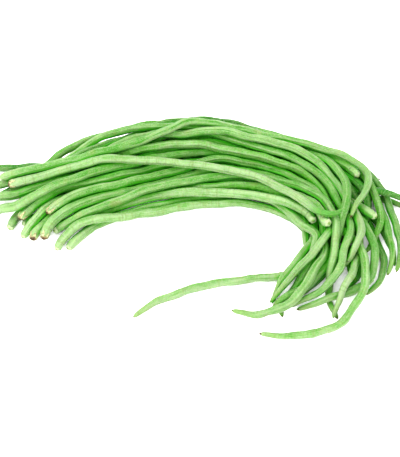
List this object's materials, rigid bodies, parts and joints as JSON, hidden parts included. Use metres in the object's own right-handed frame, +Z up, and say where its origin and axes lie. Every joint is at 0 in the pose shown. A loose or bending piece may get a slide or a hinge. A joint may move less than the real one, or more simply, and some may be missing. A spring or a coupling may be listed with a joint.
{
  "type": "yardlong bean bunch",
  "caption": "Bunch of fresh yardlong beans lying down, stem ends together, turned round a bend with the tips fanned out.",
  "frame": {"origin": "middle of the bunch's box in plan, at the surface that it lies on", "axes": "+X along the bunch, from the stem ends towards the bend; +Y towards the back of the arch; +Z up"},
  "size_m": [0.466, 0.279, 0.0497],
  "materials": {
    "apple_green_skin": "fresh waxy bean skin, satin",
    "pale_green_skin": "paler, whitish green bean skin, satin",
    "deep_green_skin": "deeper green bean skin, satin"
  },
  "bodies": {
    "root": {"front_pod_1": "pale_green_skin", "front_pod_2": "apple_green_skin", "front_pod_3": "apple_green_skin", "front_pod_4": "apple_green_skin", "front_pod_5": "apple_green_skin", "front_pod_6": "pale_green_skin", "front_pod_7": "apple_green_skin", "front_pod_8": "deep_green_skin", "crest_pod_1": "pale_green_skin", "crest_pod_2": "apple_green_skin", "crest_pod_3": "apple_green_skin", "crest_pod_4": "apple_green_skin", "crest_pod_5": "pale_green_skin", "crest_pod_6": "apple_green_skin", "crest_pod_7": "apple_green_skin", "crest_pod_8": "apple_green_skin", "crest_pod_9": "pale_green_skin", "crest_pod_10": "apple_green_skin", "back_pod_1": "deep_green_skin", "back_pod_2": "pale_green_skin", "back_pod_3": "deep_green_skin", "back_pod_4": "apple_green_skin", "back_pod_5": "deep_green_skin", "back_pod_6": "deep_green_skin", "turned_pod_1": "pale_green_skin", "turned_pod_2": "pale_green_skin", "turned_pod_3": "apple_green_skin", "turned_pod_4": "pale_green_skin", "turned_pod_5": "deep_green_skin", "turned_pod_6": "deep_green_skin", "under_pod_1": "deep_green_skin", "under_pod_2": "deep_green_skin", "under_pod_3": "deep_green_skin", "under_pod_4": "deep_green_skin"}
  },
  "joints": []
}
